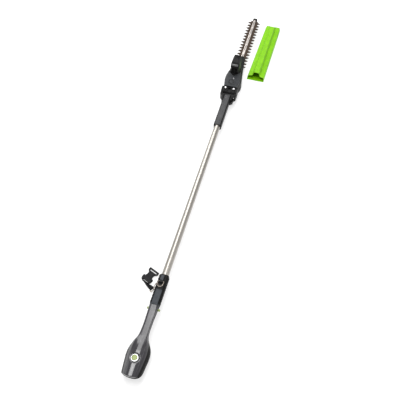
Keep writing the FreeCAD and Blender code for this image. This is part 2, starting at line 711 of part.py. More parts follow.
# ---------------------------------------------------------------- cutting head
# Plan outlines of the head, each given by its right half.
CASE_HALF = [
    (0.0, 1562.0), (33.0, 1562.0), (47.0, 1604.0), (47.0, 1632.0), (39.0, 1675.0),
    (32.0, 1726.0), (26.0, 1778.0), (20.0, 1831.0), ((13.5, 1851.0), (0.0, NOSE_Y)),
]
SKIRT_HALF = [
    (0.0, 1615.0), (31.0, 1641.0), (33.0, 1668.0), (29.5, 1700.0), ((21.0, 1721.0), (0.0, 1732.0)),
]
SHOULDER_HALF = CASE_HALF[:5] + [(34.0, 1700.0), (0.0, 1700.0)]
CASE_SCREWS = [(27.0, 1578.0), (41.5, 1620.0), (31.5, 1706.0)]


def blade_room(z0, z1):
    """Room for the blades and their yokes inside the gear case, on one side of the joint line."""
    yoke_side = YOKE_HALF + 1.0
    yokes = box(-yoke_side, yoke_side, GEAR_Y - 42.0, GEAR_Y + 44.0, z0, z1)
    channel = box(-BLADE_ROOT_HALF - 0.6, BLADE_ROOT_HALF + 0.6, GEAR_Y + 40.0, 1900.0, z0, z1)
    nose = box(-60.0, 60.0, NOSE_START_Y, 1900.0, z0, z1)
    return fuse([yokes, channel, nose])


def make_base():
    """Lower half of the gear case. Its flat underside lies on the floor."""
    case = chamfered(plan_both(CASE_HALF, 0.0, CASE_SPLIT_Z), 3.5, 0.0)
    rear_rise = profile([(1555.0, -1.0), (1590.0, -1.0), (1561.0, 14.0), (1555.0, 14.0)], -60.0, 60.0)
    nose_rise = profile([(1770.0, -1.0), (1900.0, -1.0), (1900.0, 17.0)], -60.0, 60.0)
    bearing_seat = rod_z(BEARING_R + 0.05, 0.0, GEAR_Y, 14.0, 40.0)
    tools = [rear_rise, nose_rise, blade_room(CASE_SPLIT_Z - 3.4, 40.0), bearing_seat]
    for x, y in CASE_SCREWS:
        tools += pair(rod_z(4.6, x, y, -1.0, 6.0)) + pair(rod_z(2.1, x, y, 0.0, 40.0))
    return cut(case, tools)


def make_gear_cover():
    """Upper half of the gear case, with the deck that carries the motor."""
    slab_end = NOSE_START_Y + 10.0
    slab = plan_both(CASE_HALF, CASE_SPLIT_Z + 0.05, DECK_Z).common(profile([
        (1500.0, 20.0), (slab_end, 20.0), (slab_end, NOSE_TOP), (1730.0, DECK_Z), (1500.0, DECK_Z),
    ], -60.0, 60.0))
    nose_reach = box(-60.0, 60.0, NOSE_START_Y - 6.0, 1900.0, 0.0, 90.0)
    nose = plan_both(CASE_HALF, CASE_SPLIT_Z + 0.05, NOSE_TOP).common(nose_reach)
    shoulder = chamfered(plan_both(SHOULDER_HALF, DECK_Z, 74.0), 7.0, 74.0)
    inner = plan_both([
        (0.0, 1566.0), (28.0, 1566.0), (40.0, 1606.0), (40.0, 1630.0), (32.0, 1672.0), (0.0, 1672.0),
    ], DECK_Z, 70.0)
    skirt_room = plan_both(SKIRT_HALF, DECK_Z, 90.0)
    gear_room = rod_z(33.0, 0.0, GEAR_Y, CASE_SPLIT_Z, 46.0)
    pinion_room = rod_z(9.8, 0.0, MOTOR_Y, CASE_SPLIT_Z, 46.0)
    shaft_hole = rod_z(6.0, 0.0, MOTOR_Y, 40.0, 60.0)
    bearing_seat = rod_z(BEARING_R + 0.05, 0.0, GEAR_Y, 40.0, 60.0)
    bar_room = box(-BAR_HALF - 0.1, BAR_HALF + 0.1, BAR_REAR_Y - 0.1, 1900.0, 30.0, 35.75)
    tools = [inner, skirt_room, gear_room, pinion_room, shaft_hole, bearing_seat, bar_room,
             blade_room(20.0, CASE_SPLIT_Z + 2.7)]
    for x, y in CASE_SCREWS:
        tools += pair(rod_z(1.9, x, y, 20.0, 46.0))
    return cut(fuse([slab, nose, shoulder]), tools)


def make_case_screws():
    outline = [(0.0, 2.6), (3.6, 2.6), (4.2, 3.4), (4.2, 6.0), (1.85, 6.0), (1.85, 44.0), (0.0, 44.0)]
    screws = []
    for x, y in CASE_SCREWS:
        screws += pair(lathe(outline, x, y))
    return Part.makeCompound(screws)


def tower_block(inset):
    """Motor tower: pointed plan at the rear, sloping back, domed crown. Inset gives its hollow."""
    i = inset
    floor = DECK_Z + 0.1 - i
    front = TOWER_FRONT_Y - i
    side = TOWER_HALF - i
    plan_shape = plan_both([
        (0.0, 1617.5 + 1.8 * i), (side - 1.0, 1638.0 + i), (side, MOTOR_Y),
        ((0.7 * side, MOTOR_Y + 0.72 * (front - MOTOR_Y)), (0.0, front)),
    ], floor, TOWER_TOP_Z + 5.0)
    side_shape = profile([
        (1600.0, floor), (1600.0, 76.0), (1615.0 + i, 88.0), (1640.0 + i, TOWER_LIP_Z - i),
        (1652.0, TOWER_LIP_Z + 12.0 - i), ((1668.0, TOWER_TOP_Z - 6.5 - i), (1688.0, TOWER_TOP_Z - i)),
        ((1707.0 - i, TOWER_TOP_Z - 9.0 - i), (front, DOME_START_Z)), (front, floor),
    ], -60.0, 60.0)
    shoulder = 0.76 * side
    shoulder_z = TOWER_TOP_Z - 14.0 - i
    end_shape = section([
        (-side, floor), (side, floor), (side, DOME_START_Z), ((shoulder, shoulder_z), (0.0, TOWER_TOP_Z - i)),
        ((-shoulder, shoulder_z), (-side, DOME_START_Z)),
    ], 1590.0, 1740.0)
    return plan_shape.common(side_shape).common(end_shape)


def make_motor_cover():
    skirt = plan_both(SKIRT_HALF, DECK_Z + 0.1, 97.0)
    slope = profile([
        (1600.0, 40.0), (1600.0, 88.0), (1615.0, 91.0), (1640.0, 97.0), (1735.0, 74.0), (1735.0, 40.0),
    ], -60.0, 60.0)
    under_skirt = plan_both([
        (0.0, 1622.0), (27.0, 1645.0), (29.0, 1668.0), (26.0, 1698.0), ((18.0, 1716.0), (0.0, 1726.0)),
    ], DECK_Z, 71.0)
    window = box(-16.0, 16.0, 1600.0, 1655.0, 98.0, 132.0)
    return cut(fuse([tower_block(0.0), skirt.common(slope)]), [tower_block(2.6), under_skirt, window])


def make_vent_grille():
    """Slatted grille set into the window at the rear of the motor tower."""
    heights = [98.1 + 5.33 * i for i in range(7)]
    slats = [box(-15.9, 15.9, 1600.0, 1660.0, z, z + 1.8) for z in heights]
    posts = [box(x, x + 2.0, 1600.0, 1660.0, 98.1, 131.9) for x in (-15.9, -1.0, 13.9)]
    slope = profile([(1624.0, 98.0), (1639.0, 132.0), (1645.0, 132.0), (1630.0, 98.0)], -16.0, 16.0)
    behind_wall = plan_both([(0.0, 1621.0), (23.5, 1641.5), (23.5, 1700.0), (0.0, 1700.0)], 90.0, 140.0)
    return fuse(slats + posts).common(slope).common(behind_wall)


def build_case():
    NODES["gear_case_base"] = make_base()
    NODES["gear_case_cover"] = make_gear_cover()
    NODES["case_screws"] = make_case_screws()
    NODES["motor_cover"] = make_motor_cover()
    NODES["vent_grille"] = make_vent_grille()
    low = TOWER_LIP_Z
    lip = profile([(1634.0, low - 1.0), (1638.5, low + 4.5), (1644.5, low + 5.0), (1641.0, low)], -17.0, 17.0)
    NODES["motor_cover_lip"] = lip.cut(tower_block(0.0))
    top = TOWER_TOP_Z
    cap = lathe([
        (0.0, top - 1.4), (9.0, top - 1.4), (9.0, top + 0.6), (7.6, top + 1.6), (4.6, top + 1.6),
        (4.0, top + 1.0), (0.0, top + 1.0),
    ], 0.0, MOTOR_Y)
    NODES["motor_cover_cap"] = cap.cut(tower_block(0.0))


# ---------------------------------------------------------------- rear cover of the head
def rear_cover_profile(drop):
    low = COVER_LOW_Z - drop
    high = COVER_HIGH_Z - drop
    return profile([
        (1540.0, 60.0), (1540.0, low - 2.0), (COVER_REAR_Y, low), (COVER_FRONT_Y, high),
        (COVER_FRONT_Y, 60.0),
    ], -60.0, 60.0)


def make_rear_cover():
    """Grey cover behind the motor tower: a sloping panel with bevelled sides."""
    block = plan_both([
        (0.0, COVER_REAR_Y), (36.0, COVER_REAR_Y), (45.0, 1601.0), (45.0, 1632.0), (35.5, COVER_FRONT_Y),
        (0.0, COVER_FRONT_Y),
    ], 74.1, 120.0).common(rear_cover_profile(0.0))
    bevel = section([(28.0, 104.0), (47.0, 73.0), (60.0, 73.0), (60.0, 104.0)], 1540.0, 1660.0)
    inner = plan_both([
        (0.0, 1549.0), (30.0, 1549.0), (36.0, 1601.0), (36.0, 1628.0), (28.0, 1640.0), (0.0, 1640.0),
    ], 70.0, 120.0).common(rear_cover_profile(3.2))
    skirt_room = plan_both(SKIRT_HALF, DECK_Z, 120.0)
    x, y = COVER_SCREW
    screw_hole = rod_z(1.9, x, y, 60.0, 110.0)
    return cut(block, pair(bevel) + [inner, skirt_room, screw_hole])


def make_cover_boss():
    """Plain round boss standing a little proud of the rear cover's slope."""
    slope = (COVER_HIGH_Z - COVER_LOW_Z) / (COVER_FRONT_Y - COVER_REAR_Y)
    x, y = COVER_BOSS
    boss = lathe([
        (0.0, -1.0), (20.5, -1.0), (20.5, 0.9), (19.7, 1.5), (15.5, 1.5), (14.9, 0.8), (11.0, 0.8),
        (10.4, 1.5), (0.0, 1.7),
    ], 0.0, 0.0)
    boss.rotate(V(0, 0, 0), V(1, 0, 0), math.degrees(math.atan(slope)))
    boss.translate(V(x, y, COVER_LOW_Z + (y - COVER_REAR_Y) * slope + 0.02))
    return cut(boss, [rear_cover_profile(0.0)])


def build_rear_cover():
    NODES["head_rear_cover"] = make_rear_cover()
    NODES["cover_boss"] = make_cover_boss()
    x, y = COVER_SCREW
    NODES["cover_screw"] = lathe([
        (0.0, 76.0), (1.8, 76.0), (1.8, 90.4), (4.2, 90.4), (4.2, 91.8), (3.0, 93.0), (0.0, 93.0),
    ], x, y)


# ---------------------------------------------------------------- drive train
def gear_blank(teeth, backlash):
    """Closed outline of an involute spur gear, as a face in the XY plane."""
    pressure_angle = math.radians(20.0)
    pitch_r = MODULE * teeth / 2.0
    base_r = pitch_r * math.cos(pressure_angle)
    tip_r = pitch_r + 0.85 * MODULE
    root_r = pitch_r - 1.25 * MODULE
    flank_start = max(base_r, root_r)
    half = math.pi / (2 * teeth) - backlash / (2 * pitch_r)
    involute = math.tan(pressure_angle) - pressure_angle

    def flank(radius):
        pressure = math.acos(min(1.0, base_r / radius))
        return half + involute - (math.tan(pressure) - pressure)

    radii = [flank_start + (tip_r - flank_start) * k / 3.0 for k in range(4)]
    points = []
    for t in range(teeth):
        middle = 2 * math.pi * t / teeth
        lower = [(root_r, middle - flank(flank_start))] + [(r, middle - flank(r)) for r in radii]
        upper = [(r, middle + flank(r)) for r in reversed(radii)] + [(root_r, middle + flank(flank_start))]
        points += [V(r * math.cos(a), r * math.sin(a), 0) for r, a in lower + upper]
    return Part.Face(Part.makePolygon(points + [points[0]]))


def make_gear(teeth, turn, y):
    gear = gear_blank(teeth, 0.12).extrude(V(0, 0, GEAR_Z1 - GEAR_Z0))
    gear.rotate(V(0, 0, 0), V(0, 0, 1), turn)
    gear.translate(V(0, y, GEAR_Z0))
    return gear


def make_crank_gear():
    shaft = rod_z(SHAFT_R, 0.0, GEAR_Y, 14.2, 50.0)
    lower = rod_z(ECCENTRIC_R, -CRANK_THROW, GEAR_Y, 27.2, 29.9)
    upper = rod_z(ECCENTRIC_R, CRANK_THROW, GEAR_Y, 29.9, 32.4)
    hub = rod_z(9.0, 0.0, GEAR_Y, 32.4, GEAR_Z0)
    # A tooth of the gear points at the motor axis, and a gap of the pinion faces it.
    gear = make_gear(GEAR_TEETH, 90.0, GEAR_Y)
    web = rod_z(25.5, 0.0, GEAR_Y, GEAR_Z1 - 2.0, GEAR_Z1 + 1.0)
    web = web.cut(rod_z(12.0, 0.0, GEAR_Y, 40.0, 48.0))
    return fuse([shaft, lower, upper, hub, gear.cut(web)])


def make_rotor():
    pinion = make_gear(PINION_TEETH, -90.0 + 180.0 / PINION_TEETH, MOTOR_Y)
    shaft = rod_z(2.5, 0.0, MOTOR_Y, GEAR_Z0 - 1.0, 121.0)
    return fuse([pinion, shaft])


def make_motor_can():
    can = lathe([
        (5.0, 51.0), (MOTOR_R - 1.0, 51.0), (MOTOR_R, 52.0), (MOTOR_R, 112.0), (MOTOR_R - 1.5, 114.0),
        (8.0, 114.0), (8.0, 118.0), (2.6, 118.0), (2.6, 58.0), (5.0, 58.0),
    ], 0.0, MOTOR_Y)
    slot = box(-3.0, 3.0, MOTOR_Y + MOTOR_R - 2.0, MOTOR_Y + MOTOR_R + 3.0, 92.0, 104.0)
    vents = [turned(slot, 60.0 * i, V(0, MOTOR_Y, 0), V(0, 0, 1)) for i in range(6)]
    return cut(can, vents)


def bearing(z0, z1):
    return rod_z(BEARING_R, 0.0, GEAR_Y, z0, z1).cut(rod_z(SHAFT_R + 0.04, 0.0, GEAR_Y, z0 - 1, z1 + 1))


def build_drive():
    NODES["motor_can"] = make_motor_can()
    NODES["motor_rotor"] = make_rotor()
    NODES["crank_gear"] = make_crank_gear()
    NODES["crank_bearings"] = Part.makeCompound([bearing(14.1, 20.0), bearing(46.2, 50.0)])


# ---------------------------------------------------------------- blades
def make_blade(z0):
    """Double-sided blade with a yoke at its rear that rides on the crank's eccentric."""
    root = BLADE_ROOT_HALF
    tip = BLADE_TIP_HALF
    rear = GEAR_Y - YOKE_LENGTH_HALF
    front = GEAR_Y + YOKE_LENGTH_HALF
    right = [(0.0, rear), (YOKE_HALF, rear), (YOKE_HALF, front), (root, front + 2.5)]
    for i in range(TOOTH_COUNT):
        y = FIRST_TOOTH_Y + TOOTH_PITCH * i
        right += [
            (root, y - TOOTH_BASE_HALF), (tip, y - TOOTH_TIP_HALF),
            (tip, y + TOOTH_TIP_HALF), (root, y + TOOTH_BASE_HALF),
        ]
    right += [(root, BLADE_END_Y - 4.0), (14.0, BLADE_END_Y), (0.0, BLADE_END_Y)]
    blade = plan(both_sides(right), z0, z0 + BLADE_THICK)
    window = box(-19.8, 19.8, GEAR_Y - 26.8, GEAR_Y + 26.8, z0 - 1.0, z0 + 5.0)
    return cut(blade, [window] + [bolt_slot(y, z0) for y in BOLT_YS])


def bolt_slot(y, z0):
    """Slot in a blade, as long as the blade's travel past a guide bolt needs."""
    width = BOLT_R + GAP
    half = CRANK_THROW + 0.5
    low = z0 - 1.0
    high = z0 + 5.0
    ends = [rod_z(width, 0.0, y + side, low, high) for side in (-half, half)]
    return fuse([box(-width, width, y - half, y + half, low, high)] + ends)


def make_bar():
    holes = [rod_z(BOLT_R + 0.05, 0.0, y, 0.0, 60.0) for y in BOLT_YS]
    return cut(box(-BAR_HALF, BAR_HALF, BAR_REAR_Y, BAR_FRONT_Y, BAR_Z, BAR_Z + BAR_THICK), holes)


def make_guide_bolt(y):
    top = BAR_Z + BAR_THICK
    return lathe([
        (0.0, 22.0), (BOLT_R, 22.0), (BOLT_R, top), (5.2, top), (5.2, top + 1.2), (3.6, top + 2.2),
        (0.0, top + 2.2),
    ], 0.0, y)


def make_guide_nut(y):
    nut = hex_head(5.8, 4.2, V(0.0, y, 22.9), V(0, 0, 1))
    return nut.cut(rod_z(BOLT_R + 0.02, 0.0, y, 20.0, 30.0))


def make_tip_guard():
    """Rounded plastic guard on the front end of the bar."""
    guard = plan_both([
        (0.0, 2221.5), (13.0, 2221.5), (13.0, 2226.0), ((9.0, 2233.5), (0.0, 2237.0)),
    ], 25.0, 38.0)
    sides = profile([
        (2221.0, 25.0), (2231.0, 25.0), ((2236.0, 27.5), (2238.0, 31.5)), ((2236.0, 35.5), (2231.0, 38.0)),
        (2221.0, 38.0),
    ], -20.0, 20.0)
    half = BAR_HALF + 0.05
    bar_room = box(-half, half, 2200.0, BAR_FRONT_Y + 0.1, BAR_Z - 0.05, BAR_Z + BAR_THICK + 0.05)
    return guard.common(sides).cut(bar_room)


def build_blades():
    NODES["lower_blade"] = make_blade(LOWER_BLADE_Z)
    NODES["upper_blade"] = make_blade(UPPER_BLADE_Z)
    NODES["blade_bar"] = make_bar()
    NODES["guide_bolts"] = Part.makeCompound([make_guide_bolt(y) for y in BOLT_YS])
    NODES["guide_nuts"] = Part.makeCompound([make_guide_nut(y) for y in BOLT_YS])
    NODES["tip_guard"] = make_tip_guard()


# ---------------------------------------------------------------- strap ring, hook and buckle
def make_ring():
    """D-ring with its bar in the strap tab. Its bow points to the rear."""
    left = RING_X - RING_HALF
    right = RING_X + RING_HALF
    bow_y = RING_BAR_Y - RING_REACH + RING_HALF
    corners = [V(left, RING_BAR_Y, RING_Z), V(right, RING_BAR_Y, RING_Z)]
    parts = [rod(RING_WIRE_R, corners[0], corners[1])]
    parts += [rod(RING_WIRE_R, c, V(c.x, bow_y, RING_Z)) for c in corners]
    parts += [Part.makeSphere(RING_WIRE_R, c) for c in corners]
    bow = Part.makeTorus(RING_HALF, RING_WIRE_R, V(RING_X, bow_y, RING_Z), V(0, 0, 1))
    parts.append(bow.common(box(left - 5, right + 5, bow_y - 40, bow_y, RING_Z - 5, RING_Z + 5)))
    return turned(fuse(parts), -RING_TILT, corners[0], V(1, 0, 0))


def hook_point(angle, radius):
    a = math.radians(angle)
    return HOOK_LOOP.add(V(radius * math.cos(a), 0.0, radius * math.sin(a)))


def make_hook():
    """Snap hook: a loop on the ring, a shank down the handle's left flank, a bar for the webbing."""
    loop = Part.makeTorus(HOOK_LOOP_R, HOOK_WIRE_R, HOOK_LOOP, V(0, 1, 0))
    x = HOOK_LOOP.x
    z = HOOK_LOOP.z
    opening = section([
        (x, z), (x + 12.0, z - 6.0), (x + 12.0, z + 12.0), (x + 5.0, z + 12.0),
    ], HOOK_LOOP.y - 4.0, HOOK_LOOP.y + 4.0)
    across = V(STRAP_BAR_DIR).normalize()
    back = V(across.y, -across.x, 0.0).multiply(9.0)
    half = V(across).multiply(STRAP_BAR_HALF)
    near = STRAP_BAR.add(back)
    corners = [STRAP_BAR.add(half), STRAP_BAR.sub(half), near.sub(half), near.add(half)]
    shank = [hook_point(222.0, HOOK_LOOP_R), V(-26.5, 302.5, 60.0), V(-36.0, 302.5, 16.0), near]
    runs = list(zip(shank, shank[1:])) + list(zip(corners, corners[1:] + corners[:1]))
    parts = [loop.cut(opening)]
    parts += [rod(HOOK_WIRE_R, a, b) for a, b in runs]
    parts += [Part.makeSphere(HOOK_WIRE_R, p) for p in shank[1:3] + corners]
    return fuse(parts)


def make_gate():
    """Sprung wire gate across the hook's opening, with a small hinge barrel at its lower end."""
    hinge = hook_point(-12.0, HOOK_LOOP_R)
    barrel = rod_y(HOOK_GATE_R, hinge.x, hinge.z, hinge.y - 1.7, hinge.y + 1.7)
    return fuse([rod(HOOK_GATE_R, hinge, hook_point(52.0, HOOK_LOOP_R)), barrel])


def on_buckle(shape):
    """Places a piece drawn with the buckle's mouth at the origin and its axis along +Y."""
    shape.rotate(V(0, 0, 0), V(0, 0, 1), BUCKLE_TURN)
    shape.translate(V(BUCKLE_X, BUCKLE_Y, 0.0))
    return shape


def make_socket():
    body = plan_both([
        (0.0, -27.0), (12.0, -27.0), (22.0, -22.0), (BUCKLE_HALF, -14.0), (BUCKLE_HALF, 0.0), (0.0, 0.0),
    ], BUCKLE_LOW_Z, BUCKLE_THICK)
    body = chamfered(chamfered(body, 1.5, BUCKLE_LOW_Z), 1.5, BUCKLE_THICK)
    cavity = box(-19.0, 19.0, -15.0, 1.0, 3.2, 10.2)
    strap_slot = box(-13.5, 13.5, -22.6, -18.0, -1.0, 20.0)
    windows = [box(x, x + 8.0, -11.0, -4.0, 3.4, 10.0) for x in (18.0, -26.0)]
    over_bar = box(-13.5, 13.5, -30.0, -20.0, 8.6, 20.0)
    under_bar = box(-13.5, 13.5, -30.0, -20.0, -1.0, 3.4)
    return on_buckle(cut(body, [cavity, strap_slot, over_bar, under_bar] + windows))


def make_plug():
    plate = plan_both([
        (0.0, 0.4), (17.5, 0.4), (17.5, 4.0), ((14.5, 12.0), (16.0, 21.0)), (23.0, 28.0),
        (BUCKLE_HALF, 31.0), (BUCKLE_HALF, 43.0), (0.0, 43.0),
    ], 3.0, 10.4)
    prongs = [box(x - 2.2, x + 2.2, -13.0, 1.0, 3.7, 9.7) for x in (-15.5, 0.0, 15.5)]
    strap_slot = box(-18.0, 18.0, 29.8, 36.2, 0.0, 20.0)
    return on_buckle(fuse([plate] + prongs).cut(strap_slot))


def make_webbing():
    """Short webbing loop between the hook's lower bar and the bar of the buckle socket."""
    across = V(STRAP_BAR_DIR).normalize()
    half = V(across).multiply(WEBBING_HALF)
    start = STRAP_BAR.sub(half)
    end = STRAP_BAR.add(half)
    around = rod(3.8, start, end)
    hook_bar = rod(HOOK_WIRE_R + GAP, start.sub(half), end.add(half))
    far = on_buckle(Part.Vertex(0.0, -24.8, STRAP_BAR.z)).Point
    turn = math.radians(BUCKLE_TURN)
    far_half = V(math.cos(turn), math.sin(turn), 0.0).multiply(WEBBING_HALF)
    lead = V(-2.6, 2.3, 0.0)
    corners = [start.add(lead), far.sub(far_half), far.add(far_half), end.add(lead)]
    low = [V(p.x, p.y, 1.6) for p in corners]
    slab = Part.Face(Part.makePolygon(low + [low[0]])).extrude(V(0, 0, 4.6))
    buckle_bar = on_buckle(box(-13.0, 13.0, -28.0, -22.4, -1.0, 20.0))
    return cut(fuse([around, slab]), [hook_bar, buckle_bar, NODES["buckle_socket"]])


def build_strap():
    NODES["strap_ring"] = make_ring()
    NODES["snap_hook"] = make_hook()
    NODES["hook_gate"] = make_gate()
    NODES["buckle_socket"] = make_socket()
    NODES["buckle_plug"] = make_plug()
    NODES["webbing_loop"] = make_webbing()


# ---------------------------------------------------------------- blade sheath
def sheath_section(y, inset, floor_z):
    """Sheath outline across its length: a flat tray with a raised channel along the middle."""
    t = (y - SHEATH_REAR_Y) / (SHEATH_FRONT_Y - SHEATH_REAR_Y)
    half = 49.0 - 4.0 * t - inset
    foot = 22.5 - 4.0 * t - 0.6 * inset
    ridge = 14.5 - 3.0 * t - 0.5 * inset
    right = [
        (half, floor_z), (half, 15.0), (half - 5.0, 23.0 - inset), (foot, 26.0 - inset),
        (ridge, SHEATH_TOP - inset),
    ]
    left = [(-x, z) for x, z in reversed(right)]
    return [V(SHEATH_X + x, y, z) for x, z in right + left]


def sheath_front(inset):
    """Rounded front corners, and the slope that takes the raised channel down to the tray."""
    front = SHEATH_FRONT_Y - inset
    side = 45.2 - inset
    outline = plan_both([
        (0.0, 1600.0), (90.0, 1600.0), (90.0, front - 38.0), (side, front - 15.0),
        ((side - 4.0, front - 3.7), (side - 14.4, front)), (0.0, front),
    ], -1.0, 60.0)
    outline.translate(V(SHEATH_X, 0.0, 0.0))
    slope = profile([
        (1600.0, -1.0), (1600.0, 60.0), (front - 56.0, 60.0), (front - 37.0, SHEATH_TOP - inset),
        (front, 21.0 - inset), (front, -1.0),
    ], 0.0, 250.0)
    return outline.common(slope)


def make_sheath():
    wall = SHEATH_WALL
    outer = skin([sheath_section(y, 0.0, 0.0) for y in (SHEATH_REAR_Y, SHEATH_FRONT_Y)])
    inner = skin([sheath_section(y, wall, wall) for y in (SHEATH_REAR_Y - 5.0, SHEATH_FRONT_Y - wall)])
    inner = inner.common(sheath_front(wall))
    mouth = profile([
        (1700.0, 8.0), (1714.0, 8.0), (1724.0, 24.0), (1736.0, 60.0), (1700.0, 60.0),
    ], 0.0, 200.0)
    sheath = cut(outer.common(sheath_front(0.0)), [inner, mouth])
    middle = V(SHEATH_X, (SHEATH_REAR_Y + SHEATH_FRONT_Y) / 2.0, 0.0)
    return turned(sheath, SHEATH_TURN, middle, V(0, 0, 1))


def build_sheath():
    NODES["blade_sheath"] = make_sheath()


def main():
    for build in (build_housing, build_controls, build_grip, build_pole, build_pivot, build_case,
                  build_rear_cover, build_drive, build_blades, build_strap, build_sheath):
        build()
    os.makedirs("parts", exist_ok=True)
    for name, shape in NODES.items():
        shape.exportStep("parts/%s.step" % name)
        b = shape.BoundBox
        corners = (b.XMin, b.XMax, b.YMin, b.YMax, b.ZMin, b.ZMax)
        facts = (name, shape.isValid(), len(shape.Solids), shape.Volume)
        print("%-24s valid %s solids %d volume %9.0f" % facts, end="")
        print("  x %7.1f %7.1f  y %7.1f %7.1f  z %6.1f %6.1f" % corners)


main()
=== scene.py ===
import json
import math

import bmesh
import bpy
from mathutils import Matrix, Vector


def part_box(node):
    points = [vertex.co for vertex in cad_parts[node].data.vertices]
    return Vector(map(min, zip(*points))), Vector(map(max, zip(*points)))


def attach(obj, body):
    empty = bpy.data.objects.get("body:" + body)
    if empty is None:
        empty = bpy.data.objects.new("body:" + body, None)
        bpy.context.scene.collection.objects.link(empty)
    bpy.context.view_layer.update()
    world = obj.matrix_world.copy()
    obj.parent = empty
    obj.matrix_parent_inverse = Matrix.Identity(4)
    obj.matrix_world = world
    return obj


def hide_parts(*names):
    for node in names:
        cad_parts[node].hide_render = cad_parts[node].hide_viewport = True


# The looks of the pole hedge trimmer: metres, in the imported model's frame, +Y to the blade tip.
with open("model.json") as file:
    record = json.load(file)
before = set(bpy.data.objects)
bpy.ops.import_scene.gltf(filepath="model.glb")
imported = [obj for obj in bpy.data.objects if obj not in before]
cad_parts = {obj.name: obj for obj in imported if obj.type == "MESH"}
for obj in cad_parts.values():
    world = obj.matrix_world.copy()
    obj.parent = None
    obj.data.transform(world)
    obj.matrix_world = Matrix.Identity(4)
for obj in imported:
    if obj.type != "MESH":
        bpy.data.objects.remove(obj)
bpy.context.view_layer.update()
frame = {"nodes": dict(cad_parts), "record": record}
NODES = frame["nodes"]
BODIES = frame["record"]["behaviour"]["bodies"]
BODY_OF = {node: body for body, nodes in BODIES.items() for node in nodes}
SLOT_OF = {part["node"]: part["material_slot"] for part in frame["record"]["subparts"]}
MM = 0.001
WHITE = (1.0, 1.0, 1.0, 1.0)


# ---------------------------------------------------------------- objects and meshes
WELD = 0.002 * MM                       # vertices nearer than this are one
FLAT_ANGLE = math.radians(1.0)          # faces that turn less than this are one flat


def place_object(name, data):
    obj = bpy.data.objects.new(name, data)
    bpy.context.scene.collection.objects.link(obj)
    return obj


def look_along(obj, place, way):
    """Puts a camera or light there, facing that way."""
    obj.location = place
    obj.rotation_mode = "QUATERNION"
    obj.rotation_quaternion = way.to_track_quat("-Z", "Y")


def piece_from(bm, name):
    """A mesh object made from the bmesh, which is freed."""
    mesh = bpy.data.meshes.new(name)
    bm.to_mesh(mesh)
    bm.free()
    return place_object(name, mesh)


def join_rows(bm, rows, closed):
    """Faces between each row of vertices and the next, and round from the last row to the first.
    Closed joins the ends of each row as well."""
    spans = len(rows[0]) if closed else len(rows[0]) - 1
    for row, following in zip(rows, rows[1:] + rows[:1]):
        for k in range(spans):
            after = (k + 1) % len(row)
            bm.faces.new((row[k], row[after], following[after], following[k]))
    bmesh.ops.recalc_face_normals(bm, faces=bm.faces)


def shade_smooth(obj):
    obj.data.polygons.foreach_set("use_smooth", [True] * len(obj.data.polygons))


# ---------------------------------------------------------------- camera and light
CAMERA_PLACE = (0.4007, -0.5138, 2.0100)
CAMERA_AZIMUTH = math.radians(15.62)
CAMERA_ELEVATION = math.radians(55.55)
CAMERA_LENS = 45.0          # millimetres, as is the sensor
CAMERA_SENSOR = 36.0
CAMERA_REACH = 30.0

SURROUND = 0.55             # strength of the white world
SOFTBOXES = [               # name, place, point it faces, width and length, watts
    ("overhead_rear", (-0.32, 0.40, 3.4), (-0.32, 0.4001, 0.0), (1.2, 1.2), 50.0),
    ("overhead", (-0.32, 3.15, 3.4), (-0.32, 3.1501, 0.0), (1.2, 4.3), 80.0),
    ("pole_fill", (-2.0, 3.6, 3.0), (0.0, 1.0, 0.0), (1.1, 3.2), 60.0),
    ("right_fill", (2.8, 1.0, 2.6), (0.0, 1.1, 0.0), (1.6, 3.0), 30.0),
    ("left_fill", (-3.0, 0.2, 2.2), (0.0, 1.1, 0.0), (1.5, 2.5), 25.0),
]


def direction(azimuth, elevation):
    """Unit vector from the object towards a viewer at that azimuth and elevation."""
    flat = math.cos(elevation)
    return Vector((math.sin(azimuth) * flat, -math.cos(azimuth) * flat, math.sin(elevation)))


def make_camera():
    data = bpy.data.cameras.new("camera")
    data.lens = CAMERA_LENS
    data.sensor_width = CAMERA_SENSOR
    data.clip_end = CAMERA_REACH
    camera = place_object("camera", data)
    look_along(camera, CAMERA_PLACE, -direction(CAMERA_AZIMUTH, CAMERA_ELEVATION))
    bpy.context.scene.camera = camera


def make_studio():
    """Two softboxes over the tool, weaker ones from the sides, and a dim surround."""
    world = bpy.data.worlds.new("studio")
    bpy.context.scene.world = world
    world.use_nodes = True
    background = world.node_tree.nodes["Background"]
    background.inputs["Color"].default_value = WHITE
    background.inputs["Strength"].default_value = SURROUND
    for name, place, target, size, watts in SOFTBOXES:
        data = bpy.data.lights.new(name, "AREA")
        data.shape = "RECTANGLE"
        data.size, data.size_y = size
        data.energy = watts
        look_along(place_object(name, data), place, Vector(target) - Vector(place))
    bpy.context.scene.view_settings.view_transform = "Standard"


# ---------------------------------------------------------------- material helpers
MATERIALS = {}
COLOUR_SPAN = (0.35, 0.65)      # the part of a noise over which a colour changes
GLOSS_SPAN = (0.3, 0.7)         # and the part over which roughness does
STEP_HALF = 0.2 * MM            # half the height over which a finish changes to the next
MOTTLE, PATCHES, GRAIN = 38.0, 120.0, 2600.0    # features per metre of moulded plastic
WORK_LINES = 90.0                               # and of worked metal
YARN, WEAR, RIBS = 900.0, 300.0, 190.0          # and of webbing
RIB_TURNS = (math.radians(40.0), math.radians(130.0))
RIB_DEPTH = 0.4 * MM


